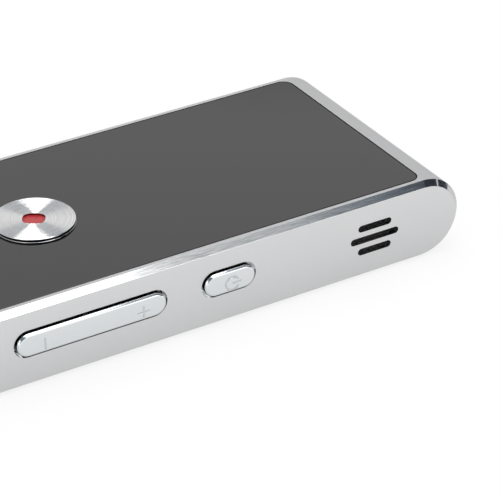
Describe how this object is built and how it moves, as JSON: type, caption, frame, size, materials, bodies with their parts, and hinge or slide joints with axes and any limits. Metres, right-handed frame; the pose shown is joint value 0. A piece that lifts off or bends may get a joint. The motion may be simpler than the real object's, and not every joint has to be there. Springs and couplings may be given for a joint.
{
  "type": "handheld translator",
  "caption": "Slim bar-shaped handheld voice translator with a metal band, dark front panel, round talk keys, side volume and power keys and a slotted sound outlet.",
  "frame": {"origin": "centre of the back panel's outer face, on which the bar lies", "axes": "+X along the bar to the end with the sound outlet, +Y across it away from the side keys, +Z out of the front panel"},
  "size_m": [0.14, 0.0403, 0.0131],
  "materials": {
    "frame_metal": "satin bead-blasted, edges polished",
    "dark_glass": "glossy dark grey",
    "tape_black": "matte adhesive tape",
    "talk_metal": "brushed in circles",
    "mark_red": "red enamel",
    "mark_blue": "blue enamel",
    "side_key_chrome": "polished",
    "dome_steel": "thin spring sheet",
    "carrier_plastic": "moulded",
    "chassis_plastic": "moulded",
    "flex_film": "amber film",
    "bracket_steel": "plain strip",
    "mesh_black": "woven",
    "foam_black": "soft foam",
    "speaker_plastic": "moulded",
    "cone_film": "thin film",
    "magnet_nickel": "nickel plated",
    "lead_black": "insulated lead",
    "lead_red": "insulated lead",
    "board_green": "solder mask",
    "chip_black": "moulded chips",
    "can_steel": "tinned sheet",
    "screw_steel": "plated",
    "pouch_foil": "foil pouch",
    "socket_steel": "folded sheet",
    "socket_plastic": "moulded",
    "boot_rubber": "soft moulding"
  },
  "bodies": {
    "casing": {"housing_frame": "frame_metal", "front_panel": "dark_glass", "front_tape": "tape_black", "back_panel": "dark_glass", "back_tape": "tape_black", "key_carrier": "carrier_plastic", "talk_dome_red": "dome_steel", "talk_dome_blue": "dome_steel", "volume_domes": "dome_steel", "power_dome": "dome_steel", "side_key_flex": "flex_film", "side_key_bracket": "bracket_steel", "sound_mesh": "mesh_black", "speaker_gasket": "foam_black", "speaker_case": "speaker_plastic", "speaker_cone": "cone_film", "speaker_magnet": "magnet_nickel", "speaker_leads": "lead_black", "main_board": "board_green", "board_chips": "chip_black", "shield_can": "can_steel", "board_screws": "screw_steel", "chassis": "chassis_plastic", "battery": "pouch_foil", "battery_pad": "foam_black", "battery_tape": "tape_black", "battery_leads": "lead_red", "charge_socket_shell": "socket_steel", "charge_socket_tongue": "socket_plastic", "microphone": "can_steel", "microphone_boot": "boot_rubber"},
    "talk_button_red": {"talk_key_red": "talk_metal", "talk_mark_red": "mark_red"},
    "talk_button_blue": {"talk_key_blue": "talk_metal", "talk_mark_blue": "mark_blue"},
    "volume_rocker": {"volume_key": "side_key_chrome"},
    "power_button": {"power_key": "side_key_chrome"}
  },
  "joints": [
    {"name": "talk_red_press", "type": "slide", "parent": "casing", "child": "talk_button_red", "axis": [0, 0, -1], "range_m": [0, 0.0004], "stiffness_N_per_m": 1500, "deforming": ["talk_dome_red"]},
    {"name": "talk_blue_press", "type": "slide", "parent": "casing", "child": "talk_button_blue", "axis": [0, 0, -1], "range_m": [0, 0.0004], "stiffness_N_per_m": 1500, "deforming": ["talk_dome_blue"]},
    {"name": "power_press", "type": "slide", "parent": "casing", "child": "power_button", "axis": [0, 1, 0], "range_m": [0, 0.0003], "stiffness_N_per_m": 1500, "deforming": ["power_dome"]},
    {"name": "volume_rock", "type": "hinge", "parent": "casing", "child": "volume_rocker", "pos_m": [0.00855, -0.0174, 0.0069], "axis": [0, 0, 1], "range_deg": [-1.4, 1.4], "stiffness_Nm_per_rad": 0.12, "deforming": ["volume_domes"]}
  ]
}
